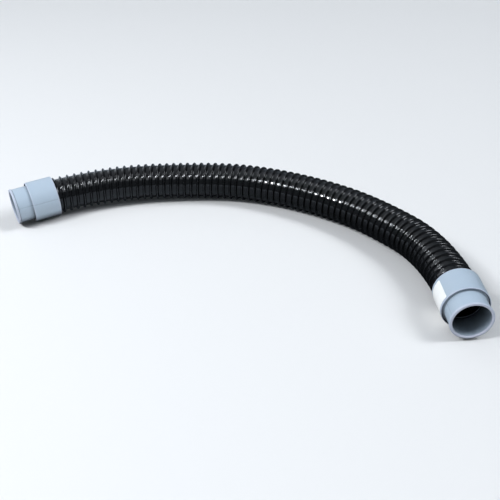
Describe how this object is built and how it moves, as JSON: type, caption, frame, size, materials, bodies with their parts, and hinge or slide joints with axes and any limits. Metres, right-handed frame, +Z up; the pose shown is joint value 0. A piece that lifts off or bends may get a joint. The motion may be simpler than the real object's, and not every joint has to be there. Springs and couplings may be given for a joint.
{
  "type": "vacuum hose",
  "caption": "Curved ribbed suction hose for a pool vacuum, with a moulded cuff bonded on each end that pushes over a pipe fitting.",
  "frame": {"origin": "bottom centre of the whole hose as it lies on a floor", "axes": "+X from the left cuff's side to the right cuff's side, +Y away from the viewer, +Z up"},
  "size_m": [0.5343, 0.3277, 0.05],
  "materials": {
    "hose": "extruded, glossy black",
    "cuff": "moulded, satin, pale blue-grey",
    "label": "plain white film"
  },
  "bodies": {
    "root": {"hose": "hose", "left_cuff": "cuff", "right_cuff": "cuff", "blank_label": "label"}
  },
  "joints": []
}
